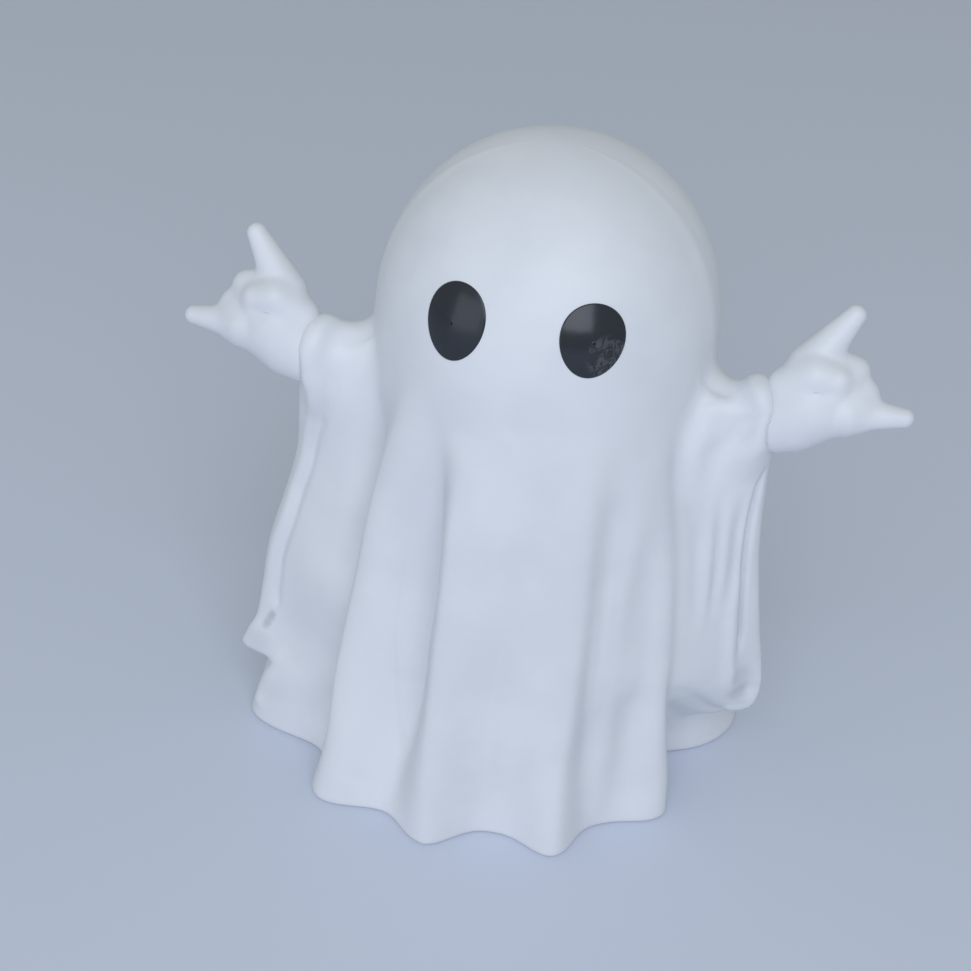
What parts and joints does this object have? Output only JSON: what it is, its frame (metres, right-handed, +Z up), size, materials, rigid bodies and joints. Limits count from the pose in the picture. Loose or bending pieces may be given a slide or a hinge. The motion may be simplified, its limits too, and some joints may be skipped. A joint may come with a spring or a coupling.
{
  "type": "ghost figurine",
  "caption": "Hollow standing ghost figurine: a draped sheet with outstretched sleeves, separate gesturing hands and inlaid glossy oval eyes.",
  "frame": {"origin": "on the axis of the head, at the flat underside of the hem", "axes": "+Z up, the face looks along -Y, +X is towards the figure's own left hand"},
  "size_m": [0.1372, 0.0848, 0.136],
  "materials": {
    "sheet": "smooth satin white",
    "hand": "smooth satin white",
    "eye": "glossy black"
  },
  "bodies": {
    "root": {"sheet_body": "sheet", "right_hand": "hand", "left_hand": "hand", "right_eye": "eye", "left_eye": "eye"}
  },
  "joints": []
}
